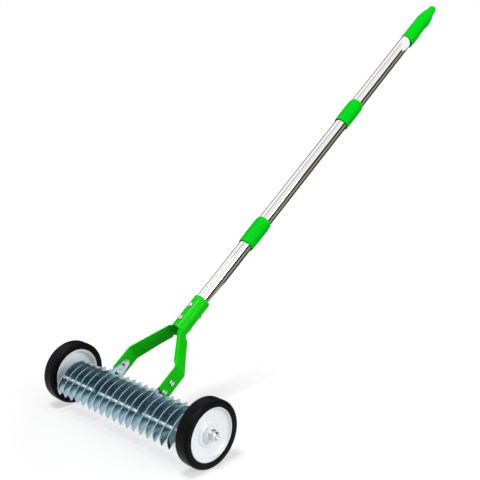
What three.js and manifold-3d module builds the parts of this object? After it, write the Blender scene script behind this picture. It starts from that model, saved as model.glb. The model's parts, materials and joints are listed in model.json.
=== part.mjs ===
// Rolling lawn aerator: clawed blades turn on an axle between two wheels, hung from a pressed fork
// on a three-piece handle. Millimetres, +Z up, +X along the axle. The handle leans towards +Y.
import * as THREE from 'three';
import { mergeVertices } from 'three/addons/utils/BufferGeometryUtils.js';
import Module from 'manifold-3d';

const wasm = await Module();
wasm.setup();

const FIT_GAP = 0.35;

const WHEEL_RADIUS = 60;
const WHEEL_CENTRE_X = 188;
const TYRE_HALF_WIDTH = 14.3;
const TYRE_SHOULDER = 6;
const HUB_RADIUS = 48;
const HUB_FACE = 12;
const HUB_BOSS_END = 31;
const TYRE_SIDES = 40;
const HUB_SIDES = 24;

const AXLE_RADIUS = 6;
const AXLE_HALF_LENGTH = 205;
const CAP_FLANGE_RADIUS = 12.4;

const BLADE_PITCH = 18.3;
const BLADE_THICKNESS = 2;
const BLADE_SLOTS = [0.5, 1.5, 2.5, 4.5, 5.5, 6.5, 7.5, 8.5];
// The edges of the two claws as [degrees, radius]: the convex back, then the hook from the tip inwards
const FRONT_CLAW_BACK = [[60, 28.2], [86, 31], [119, 36.4], [144, 42.2], [160, 46.9], [170, 51.6], [179, 57.2], [186, 59.3]];
const FRONT_CLAW_HOOK = [[201.6, 59.2], [196.8, 47.6], [199, 38], [208, 31], [222, 27]];
const REAR_CLAW_BACK = [[240, 26.8], [270, 29.4], [305, 34.5], [336, 43], [350, 49.6], [358, 53.4]];
const REAR_CLAW_HOOK = [[363.5, 52.9], [366.3, 40.2], [373, 33], [384, 29], [400, 27.6]];

const SPACER_RADIUS = 9;
const TIE_ROD_RADIUS = 2.5;
const TIE_ROD_ORBIT = 39.8;
const TIE_ROD_ANGLE = 168.5;
const TIE_ROD_SPANS = { left: [-159, -72], centre: [-55, 55], right: [72, 159] };

const HANGER_X = 62.8;
const ARM_INNER_X = 64.1;
const ARM_THICKNESS = 2.6;
const ARM_WIDTH = 33;
const ARM_START = 25;
const ARM_BEND = 77;
const ARM_SPLAY = 0.715;
const ARM_FLANGE = 7.2;
const SHELL_START = 150;
const SHELL_END = 224;
const SHELL_RADIUS = 16.9;
const SHELL_TURN = 42;
const ARM_BOLTS = { lower: 28.5, upper: 49.5 };
const ARM_BOLT_LINE = 17;
const SOCKET_BOLTS = { lower: 167, upper: 199 };

const HANDLE_TILT = 36;
const HANDLE_OFFSET = 19.5;
const TUBE_RADIUS = 13.8;
const TUBE_WALL = 1.2;
const PLUG_LENGTH = 45;
const TUBE_SPANS = { lower: [147.5, 408], middle: [408.6, 779], upper: [779.6, 1126] };
const COLLAR_CENTRES = { lower: 406, upper: 776 };
const COLLAR_LENGTH = 68;
const GRIP_START = 1038;
const GRIP_END = 1173.5;
const GRIP_TURN = -43;

const greenSteel = new THREE.MeshStandardMaterial({ color: 0x20d30d, roughness: 0.3, metalness: 0.1 });
const greenPlastic = new THREE.MeshStandardMaterial({ color: 0x05d414, roughness: 0.45, metalness: 0 });
const polishedSteel = new THREE.MeshStandardMaterial({ color: 0xd8d8d6, roughness: 0.15, metalness: 1 });
const zincPlate = new THREE.MeshStandardMaterial({ color: 0x9db4bf, roughness: 0.35, metalness: 0.9 });
const fastenerSteel = new THREE.MeshStandardMaterial({ color: 0xc9c9c4, roughness: 0.3, metalness: 0.9 });
const blackRubber = new THREE.MeshStandardMaterial({ color: 0x151515, roughness: 0.6, metalness: 0 });
const whitePlastic = new THREE.MeshStandardMaterial({ color: 0xe9eff8, roughness: 0.4, metalness: 0 });

const radians = THREE.MathUtils.degToRad;
const smoothstep = THREE.MathUtils.smoothstep;

// A closed geometry as a solid that can be joined and cut
function toSolid(geometry) {
  const bare = geometry.clone();
  bare.deleteAttribute('normal');
  bare.deleteAttribute('uv');
  const merged = mergeVertices(bare, 1e-4);
  const index = merged.getIndex().array;
  const kept = [];
  for (let i = 0; i < index.length; i += 3) {
    const [a, b, c] = [index[i], index[i + 1], index[i + 2]];
    if (a !== b && b !== c && c !== a) kept.push(a, b, c);
  }
  const vertProperties = new Float32Array(merged.getAttribute('position').array);
  const triVerts = new Uint32Array(kept);
  return new wasm.Manifold(new wasm.Mesh({ numProp: 3, vertProperties, triVerts }));
}

function toGeometry(solid) {
  const mesh = solid.getMesh();
  const geometry = new THREE.BufferGeometry();
  geometry.setAttribute('position', new THREE.BufferAttribute(mesh.vertProperties, 3));
  geometry.setIndex(new THREE.BufferAttribute(mesh.triVerts, 1));
  const flat = geometry.toNonIndexed();
  flat.computeVertexNormals();
  return flat;
}

function cut(geometry, tools) {
  return toGeometry(tools.reduce((solid, tool) => solid.subtract(toSolid(tool)), toSolid(geometry)));
}

function join(geometries) {
  return toGeometry(geometries.map(toSolid).reduce((solid, next) => solid.add(next)));
}

// A profile of [radius, height] points turned about Y
function revolve(profile, sides) {
  return new THREE.LatheGeometry(profile.map(([r, y]) => new THREE.Vector2(r, y)), sides);
}

// Turns a piece made about Y so that it lies along the axle, facing away from the middle on its side
function alongAxle(geometry, side) {
  return geometry.rotateZ(-side * Math.PI / 2);
}

function polar(degrees, radius) {
  return new THREE.Vector2(radius * Math.cos(radians(degrees)), radius * Math.sin(radians(degrees)));
}

function circle(centre, radius, sides) {
  const points = [];
  for (let i = 0; i < sides; i += 1) {
    points.push(polar(360 * i / sides, radius).add(centre));
  }
  return points;
}

// A flat plate: an outline in the plane across the axle, extruded along it
function plate(outline, holes, thickness) {
  const shape = new THREE.Shape(outline);
  shape.holes = holes.map((hole) => new THREE.Path(hole));
  const geometry = new THREE.ExtrudeGeometry(shape, { depth: thickness, bevelEnabled: false });
  geometry.translate(0, 0, -thickness / 2);
  const turn = new THREE.Matrix4().makeBasis(
    new THREE.Vector3(0, 1, 0), new THREE.Vector3(0, 0, 1), new THREE.Vector3(1, 0, 0));
  return geometry.applyMatrix4(turn);
}

// The outline of a blade: two claws that both hook the same way round the body
function clawOutline() {
  const edges = [[FRONT_CLAW_BACK, 14], [FRONT_CLAW_HOOK, 5], [REAR_CLAW_BACK, 9], [REAR_CLAW_HOOK, 5]];
  return edges.flatMap(([edge, steps]) => {
    const points = edge.map(([degrees, radius]) => polar(degrees, radius));
    return new THREE.SplineCurve(points).getPoints(steps);
  });
}

const clawShape = clawOutline();
const tieRodCentre = polar(TIE_ROD_ANGLE, TIE_ROD_ORBIT);

function bladeGeometry() {
  const bore = circle(new THREE.Vector2(), AXLE_RADIUS + FIT_GAP, 12);
  const rodHole = circle(tieRodCentre, TIE_ROD_RADIUS + FIT_GAP, 8);
  return plate(clawShape, [bore, rodHole], BLADE_THICKNESS);
}

// A point given along the handle and square to it, in the plane across the axle
function fromHandle(along, above) {
  return new THREE.Vector2(along, above).rotateAround(new THREE.Vector2(), radians(HANDLE_TILT));
}

// The fixed plate that carries the axle: a blade outline with a tongue up the inside of the fork arm
function hangerGeometry() {
  const round = [];
  for (let degrees = 70; degrees >= -80; degrees -= 30) {
    round.push(polar(degrees, 8.2).add(new THREE.Vector2(50, 16.5)));
  }
  const tongue = [[4, 35.4], [24, 32.6]].map(([s, n]) => new THREE.Vector2(s, n));
  tongue.push(...round, new THREE.Vector2(30, 3.6), new THREE.Vector2(8, -4));
  tongue.reverse();
  const turned = tongue.map((point) => fromHandle(point.x, point.y));
  const holes = Object.values(ARM_BOLTS).map((s) => circle(fromHandle(s, ARM_BOLT_LINE), 3, 12));
  holes.push(circle(new THREE.Vector2(), AXLE_RADIUS + 0.6, 14));
  const blank = join([plate(clawShape, [], BLADE_THICKNESS), plate(turned, [], BLADE_THICKNESS)]);
  return cut(blank, holes.map((hole) => plate(hole, [], 3 * BLADE_THICKNESS)));
}

function tyreGeometry() {
  const w = TYRE_HALF_WIDTH;
  const r = WHEEL_RADIUS;
  const e = TYRE_SHOULDER;
  const profile = new THREE.Path()
    .moveTo(HUB_RADIUS, -w)
    .lineTo(r - e, -w)
    .quadraticCurveTo(r, -w, r, e - w)
    .lineTo(r, w - e)
    .quadraticCurveTo(r, w, r - e, w)
    .lineTo(HUB_RADIUS, w)
    .closePath();
  return new THREE.LatheGeometry(profile.getPoints(3), TYRE_SIDES);
}

// The dished hub: a rim, a web with a raised ring, an outer boss and a long inner boss to the blades
function hubGeometry() {
  const rim = HUB_RADIUS - FIT_GAP;
  const bore = AXLE_RADIUS + FIT_GAP;
  const profile = new THREE.Path()
    .moveTo(bore, -HUB_BOSS_END)
    .lineTo(12.5, -HUB_BOSS_END)
    .lineTo(14.5, -6)
    .lineTo(39, -3)
    .lineTo(44, -HUB_FACE)
    .lineTo(rim, -HUB_FACE)
    .lineTo(rim, HUB_FACE)
    .lineTo(45.4, HUB_FACE)
    .quadraticCurveTo(41, 4.6, 23.6, 4.2)
    .quadraticCurveTo(21, 7.4, 18.4, 4.4)
    .quadraticCurveTo(14, 6, 12.8, 13)
    .lineTo(bore, 13)
    .closePath();
  return new THREE.LatheGeometry(profile.getPoints(3), HUB_SIDES);
}

// Cap nut: a washer face under a blind dome that is pressed on the end of the axle
function capNutGeometry() {
  const seat = 13 + FIT_GAP;
  const blind = AXLE_HALF_LENGTH - WHEEL_CENTRE_X + FIT_GAP;
  const profile = new THREE.Path()
    .moveTo(0, blind)
    .lineTo(AXLE_RADIUS + FIT_GAP, blind)
    .lineTo(AXLE_RADIUS + FIT_GAP, seat)
    .lineTo(CAP_FLANGE_RADIUS, seat)
    .lineTo(CAP_FLANGE_RADIUS, seat + 1.4)
    .lineTo(11.2, seat + 1.9)
    .quadraticCurveTo(11, blind + 6, 0, blind + 6.5);
  return new THREE.LatheGeometry(profile.getPoints(4), 18);
}

function spacerGeometry(length) {
  const bore = AXLE_RADIUS + FIT_GAP;
  const half = length / 2;
  const ring = [[bore, -half], [SPACER_RADIUS, -half], [SPACER_RADIUS, half], [bore, half], [bore, -half]];
  return alongAxle(revolve(ring, 10), 1);
}

// A rod of one diameter with chamfered ends, made about Y
function rodGeometry(radius, length, sides, chamfer) {
  const half = length / 2;
  const profile = [[0, -half], [radius - chamfer, -half], [radius, chamfer - half],
    [radius, half - chamfer], [radius - chamfer, half], [0, half]];
  return revolve(profile, sides);
}

// Pan-head bolt with its nut, along Y: the clamped pieces lie between zero and the grip length
function boltGeometry(gripLength) {
  const head = gripLength + 0.3;
  const nut = -0.3;
  const profile = new THREE.Path()
    .moveTo(0, nut - 4.6)
    .lineTo(2.6, nut - 4.6)
    .lineTo(2.6, head)
    .lineTo(5.4, head)
    .quadraticCurveTo(5.4, head + 3.2, 0, head + 3.4);
  const bolt = new THREE.LatheGeometry(profile.getPoints(3), 10);
  const hexagon = revolve([[0, nut - 3.4], [4.9, nut - 3.4], [5.5, nut - 2.7], [5.5, nut], [0, nut]], 6);
  return join([bolt, hexagon]);
}

// The outer face of a fork arm at one station along the handle, as if on the right: a flat web, on
// the right arm with its upper edge folded in on the splayed part, drawn over into half a shell
// round the handle. The right shell covers the handle from above, the left one from below.
function armFace(s, points, side) {
  const bend = Math.max(0, s - ARM_BEND) * ARM_SPLAY + 0.8 * Math.exp(-Math.abs(s - ARM_BEND) / 2);
  const web = Math.max(ARM_INNER_X + ARM_THICKNESS - bend, SHELL_RADIUS);
  const fold = side > 0 ? smoothstep(s, ARM_BEND - 4, ARM_BEND + 9) : 0;
  const low = 3 * smoothstep(s, ARM_BEND, 125) + 9 * Math.exp(-(((s - 145.5) / 3.4) ** 2));
  const corner = 5;
  const foldStart = ARM_WIDTH - 4;
  const length = ARM_WIDTH + ARM_FLANGE * fold;
  const angle = 0.001 + fold * Math.PI / 2;
  const face = [];
  for (let i = 0; i <= points; i += 1) {
    const travel = length * i / points;
    const turned = THREE.MathUtils.clamp((travel - foldStart) / corner, 0, 1) * angle;
    const rest = Math.max(0, travel - foldStart - corner);
    const radius = corner / angle;
    const x = web - radius * (1 - Math.cos(turned)) - rest * Math.sin(turned);
    const n = Math.min(travel, foldStart) + radius * Math.sin(turned) + rest * Math.cos(turned);
    const above = n + low * (1 - i / points) - HANDLE_OFFSET;
    const shell = smoothstep(s, SHELL_START - 8 + 3 * i / points, SHELL_START);
    const around = radians(side * SHELL_TURN - 86 + 172 * i / points);
    const heading = THREE.MathUtils.lerp(Math.atan2(above, x), around, shell);
    const flare = 1.4 * Math.sin(Math.PI * shell);
    const out = THREE.MathUtils.lerp(Math.hypot(x, above), SHELL_RADIUS, shell) + flare;
    face.push(new THREE.Vector2(out * Math.cos(heading), HANDLE_OFFSET + out * Math.sin(heading)));
  }
  return face;
}

// The closed section of a fork arm at one station: the outer face and the same face moved in
function armSection(s, points, side) {
  const face = armFace(s, points, side);
  const splayed = smoothstep(s, ARM_BEND - 2, ARM_BEND + 2) * (1 - smoothstep(s, 140, 148));
  const slant = 1 + 0.23 * splayed;
  const inner = face.map((point, i) => {
    const before = face[Math.max(0, i - 1)];
    const after = face[Math.min(points, i + 1)];
    const along = after.clone().sub(before).normalize();
    return new THREE.Vector2(point.x - along.y * ARM_THICKNESS * slant, point.y + along.x * ARM_THICKNESS);
  });
  return [...face, ...inner.reverse()];
}

// A closed skin over a row of sections, each a loop of points in X and Z at its own Y
function loft(sections, stations) {
  const count = sections[0].length;
  const positions = [];
  sections.forEach((loop, row) => loop.forEach((p) => positions.push(p.x, stations[row], p.y)));
  const index = [];
  for (let row = 0; row + 1 < sections.length; row += 1) {
    for (let i = 0; i < count; i += 1) {
      const a = row * count + i;
      const b = row * count + (i + 1) % count;
      index.push(a, a + count, b, b, a + count, b + count);
    }
  }
  const last = (sections.length - 1) * count;
  THREE.ShapeUtils.triangulateShape(sections[0], []).forEach(([a, b, c]) => index.push(a, b, c));
  THREE.ShapeUtils.triangulateShape(sections.at(-1), [])
    .forEach(([a, b, c]) => index.push(last + a, last + c, last + b));
  const geometry = new THREE.BufferGeometry();
  geometry.setAttribute('position', new THREE.Float32BufferAttribute(positions, 3));
  geometry.setIndex(index);
  return geometry;
}

function armGeometry(side) {
  const stations = [ARM_START, 73, 76, 78, 81, 86, 120, 139, 142, 144, 145.5, 147, 148.5, SHELL_START, SHELL_END];
  const sheet = loft(stations.map((s) => armSection(s, 9, side)), stations);
  const drill = (length) => new THREE.CylinderGeometry(3, 3, length, 12);
  const holes = Object.values(ARM_BOLTS).map((s) => (
    drill(60).rotateZ(Math.PI / 2).translate(50, s, ARM_BOLT_LINE)));
  holes.push(...Object.values(SOCKET_BOLTS).map((s) => drill(60).rotateX(Math.PI / 2).translate(0, s, HANDLE_OFFSET)));
  const round = 7;
  const corner = (n, turn) => {
    const waste = new THREE.Shape()
      .moveTo(-1, -1)
      .lineTo(round, -1)
      .lineTo(round, 0)
      .quadraticCurveTo(0, 0, 0, round)
      .lineTo(-1, round)
      .closePath();
    const block = new THREE.ExtrudeGeometry(waste, { depth: 20, bevelEnabled: false, curveSegments: 4 });
    block.applyMatrix4(new THREE.Matrix4().makeBasis(
      new THREE.Vector3(0, 1, 0), new THREE.Vector3(0, 0, 1), new THREE.Vector3(1, 0, 0)));
    if (turn) block.rotateX(-Math.PI / 2);
    return block.translate(55, ARM_START, n);
  };
  const arm = cut(sheet, [...holes, corner(0, false), corner(ARM_WIDTH, true)]);
  return side > 0 ? arm : toGeometry(toSolid(arm).mirror([1, 0, 0]));
}

// A handle tube from its shoulder up; all but the lowest have a swaged end below the shoulder that
// plugs into the tube under it
function tubeGeometry(length, plugged) {
  const inside = TUBE_RADIUS - TUBE_WALL;
  const plug = inside - FIT_GAP;
  const bore = plug - TUBE_WALL;
  const outer = plugged
    ? [[bore, -PLUG_LENGTH], [plug, -PLUG_LENGTH], [plug, 0], [TUBE_RADIUS, 0]]
    : [[inside, 0], [TUBE_RADIUS, 0]];
  const inner = plugged ? [[inside, length], [inside, 3], [bore, 0]] : [[inside, length]];
  return revolve([...outer, [TUBE_RADIUS, length], ...inner, outer[0]], 24);
}

// Collar over a joint of the handle: slightly barrelled, and rounded above
function collarGeometry() {
  const half = COLLAR_LENGTH / 2;
  const bore = TUBE_RADIUS + FIT_GAP;
  const profile = new THREE.Path()
    .moveTo(bore, -half)
    .lineTo(15.8, -half)
    .lineTo(16.2, 1.2 - half)
    .quadraticCurveTo(17.4, 0, 16.6, half - 9)
    .quadraticCurveTo(16.4, half, 14.8, half)
    .lineTo(bore, half)
    .closePath();
  return new THREE.LatheGeometry(profile.getPoints(3), 24);
}

// One ring of the grip: a circle that swells on one side, moved to that side by its sag
function gripSection([radius, swell, sag]) {
  const ring = [];
  for (let i = 0; i < 24; i += 1) {
    const turn = 2 * Math.PI * i / 24;
    const out = radius + swell * Math.max(0, -Math.sin(turn));
    ring.push(new THREE.Vector2(out * Math.cos(turn), out * Math.sin(turn) - sag));
  }
  return ring;
}

// End grip: a blind sleeve with a slanted mouth, swelling on one side and drawn in to a round nub.
// It sits turned on the tube, with its swollen side to the right and below.
function gripGeometry() {
  const bore = TUBE_RADIUS + FIT_GAP;
  const blind = TUBE_SPANS.upper[1] + 0.6 - GRIP_START;
  const along = new THREE.SplineCurve([[-8, 15], [25, 15.1], [80, 15.1], [93, 13.8], [106, 11.9], [117, 9.6],
    [126, 9.1], [132, 7.1]].map(([s, r]) => new THREE.Vector2(s, r)));
  const shapes = along.getPoints(15).map(({ x: s, y: radius }) => {
    const below = smoothstep(s, -8, 25) * 2.6 - 1.7 * Math.exp(-(((s - 60) / 14) ** 2));
    const swell = (below + 0.6 * smoothstep(s, 70, 90)) * (1 - smoothstep(s, 94, 128));
    return [s, [radius, swell, 1.8 * smoothstep(s, 98, 126)]];
  });
  shapes.push([134.6, [4, 0, 1.8]], [GRIP_END - GRIP_START, [0.6, 0, 1.8]]);
  const body = loft(shapes.map(([, shape]) => gripSection(shape)), shapes.map(([s]) => s));
  const hollow = new THREE.CylinderGeometry(bore, bore, blind + 20, 24).translate(0, (blind - 20) / 2, 0);
  const mouth = new THREE.BoxGeometry(60, 30, 60).translate(0, -15, 0).rotateX(-0.24);
  return cut(body, [hollow, mouth]).rotateY(radians(GRIP_TURN));
}

const aerator = new THREE.Group();
const roller = new THREE.Group();
const handle = new THREE.Group();
roller.position.z = WHEEL_RADIUS;
handle.position.z = WHEEL_RADIUS;
handle.rotation.x = radians(HANDLE_TILT);
aerator.add(roller, handle);

function addPiece(parent, name, geometry, material, x = 0, y = 0, z = 0) {
  const mesh = new THREE.Mesh(geometry, material);
  mesh.name = name;
  mesh.position.set(x, y, z);
  parent.add(mesh);
}

addPiece(roller, 'axle', alongAxle(rodGeometry(AXLE_RADIUS, 2 * AXLE_HALF_LENGTH, 16, 0.8), 1), zincPlate);

const bladePlaces = [...BLADE_SLOTS.map((slot) => -slot * BLADE_PITCH), ...BLADE_SLOTS.map((slot) => slot * BLADE_PITCH)];
bladePlaces.sort((a, b) => a - b);
bladePlaces.forEach((x, i) => {
  addPiece(roller, `blade_${String(i + 1).padStart(2, '0')}`, bladeGeometry(), zincPlate, x);
});

// Every stretch of axle between two neighbouring plates carries a spacer
const platePlaces = [...bladePlaces, -HANGER_X, HANGER_X].sort((a, b) => a - b);
platePlaces.slice(1).forEach((x, i) => {
  const before = platePlaces[i];
  const length = x - before - BLADE_THICKNESS - 2 * FIT_GAP;
  addPiece(roller, `spacer_${String(i + 1).padStart(2, '0')}`, spacerGeometry(length), zincPlate, (x + before) / 2);
});

Object.entries(TIE_ROD_SPANS).forEach(([place, [from, to]]) => {
  const rod = alongAxle(rodGeometry(TIE_ROD_RADIUS, to - from, 8, 0.5), 1);
  addPiece(roller, `tie_rod_${place}`, rod, fastenerSteel, (from + to) / 2, tieRodCentre.x, tieRodCentre.y);
});

[['left', -1], ['right', 1]].forEach(([place, side]) => {
  const centre = side * WHEEL_CENTRE_X;
  const tyre = alongAxle(tyreGeometry(), side).rotateX(Math.PI / TYRE_SIDES);
  addPiece(roller, `tyre_${place}`, tyre, blackRubber, centre);
  addPiece(roller, `hub_${place}`, alongAxle(hubGeometry(), side), whitePlastic, centre);
  addPiece(roller, `cap_nut_${place}`, alongAxle(capNutGeometry(), side), fastenerSteel, centre);
  addPiece(roller, `hanger_${place}`, hangerGeometry(), zincPlate, side * HANGER_X);
  addPiece(handle, `fork_arm_${place}`, armGeometry(side), greenSteel);
  const clamped = ARM_INNER_X + ARM_THICKNESS - HANGER_X + BLADE_THICKNESS / 2;
  Object.entries(ARM_BOLTS).forEach(([level, s]) => {
    const bolt = alongAxle(boltGeometry(clamped), side);
    const seat = side * (HANGER_X - BLADE_THICKNESS / 2);
    addPiece(handle, `arm_bolt_${place}_${level}`, bolt, fastenerSteel, seat, s, ARM_BOLT_LINE);
  });
});

Object.entries(SOCKET_BOLTS).forEach(([level, s]) => {
  const bolt = boltGeometry(2 * SHELL_RADIUS).rotateX(Math.PI / 2);
  addPiece(handle, `socket_bolt_${level}`, bolt, fastenerSteel, 0, s, HANDLE_OFFSET - SHELL_RADIUS);
});

Object.entries(TUBE_SPANS).forEach(([level, [start, end]]) => {
  const lowest = level === 'lower';
  const crossHoles = Object.values(SOCKET_BOLTS).map((s) => (
    new THREE.CylinderGeometry(3, 3, 60, 12).rotateX(Math.PI / 2).translate(0, s - start, 0)));
  const tube = tubeGeometry(end - start, !lowest);
  const piece = lowest ? cut(tube, crossHoles) : tube;
  addPiece(handle, `tube_${level}`, piece, polishedSteel, 0, start, HANDLE_OFFSET);
});
Object.entries(COLLAR_CENTRES).forEach(([level, s]) => {
  addPiece(handle, `collar_${level}`, collarGeometry(), greenPlastic, 0, s, HANDLE_OFFSET);
});
addPiece(handle, 'grip', gripGeometry(), greenPlastic, 0, GRIP_START, HANDLE_OFFSET);

// The origin is on the ground, under the middle of the machine's box
aerator.updateMatrixWorld(true);
const box = new THREE.Box3().setFromObject(aerator, true);
const middle = box.getCenter(new THREE.Vector3());
aerator.position.set(-middle.x, -middle.y, -box.min.z);

export default aerator;
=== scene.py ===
"""The looks of a rolling lawn aerator, built as a Blender add-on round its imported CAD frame."""
import json
import math

import bmesh
import bpy
from bpy.props import FloatProperty, FloatVectorProperty, IntProperty, PointerProperty
from bpy.types import Operator, Panel, PropertyGroup
from mathutils import Matrix, Vector

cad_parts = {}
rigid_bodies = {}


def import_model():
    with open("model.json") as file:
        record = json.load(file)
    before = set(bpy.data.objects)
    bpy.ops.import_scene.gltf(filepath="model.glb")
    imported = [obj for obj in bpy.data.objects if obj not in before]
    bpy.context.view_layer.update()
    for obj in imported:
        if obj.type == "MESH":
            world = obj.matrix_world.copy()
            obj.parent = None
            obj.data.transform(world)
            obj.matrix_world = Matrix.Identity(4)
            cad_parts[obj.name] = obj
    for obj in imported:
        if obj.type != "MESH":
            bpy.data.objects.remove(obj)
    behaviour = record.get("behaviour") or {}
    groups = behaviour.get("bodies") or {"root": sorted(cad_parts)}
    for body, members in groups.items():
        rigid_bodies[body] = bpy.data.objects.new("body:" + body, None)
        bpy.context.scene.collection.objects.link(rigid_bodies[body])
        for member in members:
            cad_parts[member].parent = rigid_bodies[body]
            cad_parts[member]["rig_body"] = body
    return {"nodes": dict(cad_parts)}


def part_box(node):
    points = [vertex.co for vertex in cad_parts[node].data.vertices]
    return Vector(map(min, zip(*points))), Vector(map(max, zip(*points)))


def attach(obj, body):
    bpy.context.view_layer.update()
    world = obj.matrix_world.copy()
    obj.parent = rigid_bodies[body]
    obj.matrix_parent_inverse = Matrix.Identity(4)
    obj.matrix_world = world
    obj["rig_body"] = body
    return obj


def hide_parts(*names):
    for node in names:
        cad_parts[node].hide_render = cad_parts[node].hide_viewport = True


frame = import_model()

bl_info = {
    "name": "Rolling lawn aerator",
    "version": (1, 0, 0),
    "blender": (4, 5, 0),
    "location": "View3D > Sidebar > Aerator",
    "description": "Builds the wheels, clawed blades, fork, handle and studio of a lawn aerator",
    "category": "Add Mesh",
}

# Profiles and outlines below are in millimetres; the frame is in metres
MM = 0.001
SIDES = {"left": -1, "right": 1}

AXLE_LOW, AXLE_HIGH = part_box("axle")
ROLLER_FRAME = Matrix.Translation((AXLE_LOW + AXLE_HIGH) / 2)
HANDLE_TILT = math.radians(36)
HANDLE_FRAME = ROLLER_FRAME @ Matrix.Rotation(HANDLE_TILT, 4, "X")
HANDLE_LINE = 19.5
WHEEL_CENTRE = 188.0
HANGER_CENTRE = 62.8
HUB_EDGE = 47.65
AXLE_BORE = 6.35
HANGER_BORE = 6.6
TIE_ROD_HOLE = 2.85
BOLT_HOLE = 3.0

# Edges of the two claws as (degrees, radius): the convex back, the blunt end, the hook inwards
FRONT_CLAW = (
    ((60, 28.2), (86, 31), (119, 36.4), (144, 42.2), (160, 46.9), (170, 51.6), (179, 57.2),
     (186, 59.3)),
    ((190, 59.6), (195, 59.7), (200, 59.6)),
    ((201.6, 59.0), (196.8, 47.6), (199, 38), (208, 31), (222, 27)),
)
REAR_CLAW = (
    ((240, 26.8), (270, 29.4), (305, 34.5), (336, 43), (350, 49.6), (358, 53.4)),
    ((361, 53.7),),
    ((363.5, 52.9), (366.3, 40.2), (373, 33), (384, 29), (400, 27.6)),
)
TIE_ROD_ANGLE, TIE_ROD_ORBIT = 168.5, 39.8

# Fork arm, by distance up the handle from the axle
ARM_START, ARM_BEND, ARM_END = 25, 77, 224
ARM_NOTCH = 145.5
ARM_OUTER, ARM_SPLAY, ARM_CORNER = 66.7, 0.715, 7
SHELL_START, SHELL_RADIUS, SHELL_TURN, SHELL_HALF = 150, 16.9, 42, 86
ARM_BOLTS = {"lower": 28.5, "upper": 49.5}
ARM_BOLT_LINE = 17
SOCKET_BOLTS = {"lower": 167, "upper": 199}

TUBE_SPANS = {"lower": (157, 408), "middle": (408.6, 779), "upper": (779.6, 1126)}
PLUG_LENGTH = 45
FIT_GAP = 0.35
COLLAR_CENTRES = {"lower": 406, "upper": 776}
GRIP_START, GRIP_TURN = 1038, -43
# Grip sections: distance from the mouth, radius, swell of the full side, sag of the centre line
GRIP_SECTIONS = (
    (0, 15.0, 1.1, 0), (4, 15.2, 1.7, 0), (25, 15.1, 2.6, 0), (52, 15.1, 1.4, 0),
    (67, 15.1, 1.6, 0), (80, 15.1, 2.9, 0), (93, 13.8, 3.1, 0), (106, 11.9, 2.3, 0.3),
    (116.5, 9.6, 1.1, 1.2), (124, 9.3, 0.3, 1.7), (129, 8.7, 0, 1.8), (132.5, 6.9, 0, 1.8),
    (134.8, 3.6, 0, 1.8),
)

# Directions round the handle: towards the camera, and to its right
CAMERA_SIDE = Vector((0.747, -0.3915, 0.538))
RIGHT_SIDE = Vector((0.6654, 0.4392, -0.6043))
# Glowing screens round the handle that only reflections see, for painted reflections of stripes on
# the chrome tubes: the two angles that each spans, from the camera's side, and its shade
SCREENS = (
    ("black_line", 25, 49, (0.012, 0.011, 0.008)),
    ("taupe_band", 49, 62, (0.12, 0.115, 0.085)),
    ("pale_taupe_band", 62, 98, (0.29, 0.28, 0.21)),
    ("dark_edge", 98, 236, (0.05, 0.048, 0.032)),
    ("grey_line", 297, 317, (0.5, 0.5, 0.52)),
    ("faint_band", 340, 350, (0.68, 0.69, 0.7)),
)
# Screens, in metres: distance from the handle's line, and their near and far ends along it
SCREEN_REACH = 0.4
SCREEN_ENDS = (0.1, 1.438)
LAMP_TARGET = Vector((0, -0.1, 0.3))
# The white of the floor, as (metres from the roller, strength), and its strength in reflections
FLOOR_NEAR, FLOOR_FAR = (0.2, 0.58), (0.8, 0.92)
FLOOR_MIRRORED = 0.64
# The camera, by its frame seen from the roller and its lens in millimetres
CAMERA_FRAME = Matrix((
    (0.7193, -0.1636, 0.6751, 1.1052),
    (0.6947, 0.1694, -0.6991, -0.8708),
    (0, 0.9719, 0.2355, 0.6338),
    (0, 0, 0, 1)))
CAMERA_LENS = 62.52


def distance(name, text, default):
    """A length that the user can change."""
    return FloatProperty(name=name, description=text, default=default, min=0.0, precision=5,
                         unit="LENGTH")


def level(name, text, default, **limits):
    """A plain number that the user can change."""
    return FloatProperty(name=name, description=text, default=default, min=0.0, **limits)


def colour(name, text, default):
    """A colour that the user can change."""
    return FloatVectorProperty(name=name, description=text, default=default, size=3, min=0, max=1,
                               subtype="COLOR")


class AeratorSizes(PropertyGroup):
    """Sizes of the shown pieces that the CAD frame leaves open."""

    lathe_sides: IntProperty(name="Turned sides", description="Sides of a turned piece",
                             default=96, min=12)
    edge_rounding: distance("Edge rounding", "Radius on the edges of the stamped plates", 0.0003)
    sheet_thickness: distance("Arm sheet", "Thickness of the fork's pressed sheet", 0.0026)
    sheet_rounding: distance("Arm edge", "Rounding of the fork sheet's cut edges", 0.0007)
    arm_width: distance("Arm width", "Width of a fork arm's flat web", 0.033)
    arm_flange: distance("Arm flange", "Width of the right arm's folded edge", 0.0072)
    blade_thickness: distance("Blade thickness", "Thickness of a blade", 0.0016)
    spacer_radius: distance("Spacer radius", "Outer radius of the spacers between blades", 0.009)
    tie_rod_radius: distance("Tie rod radius", "Radius of the rods through the blades", 0.0028)
    tyre_shoulder: distance("Tyre shoulder", "Rounding between tread and side wall", 0.006)
    tube_radius: distance("Tube radius", "Outer radius of the handle tubes", 0.0138)
    tube_wall: distance("Tube wall", "Wall of the handle tubes", 0.0012)


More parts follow.
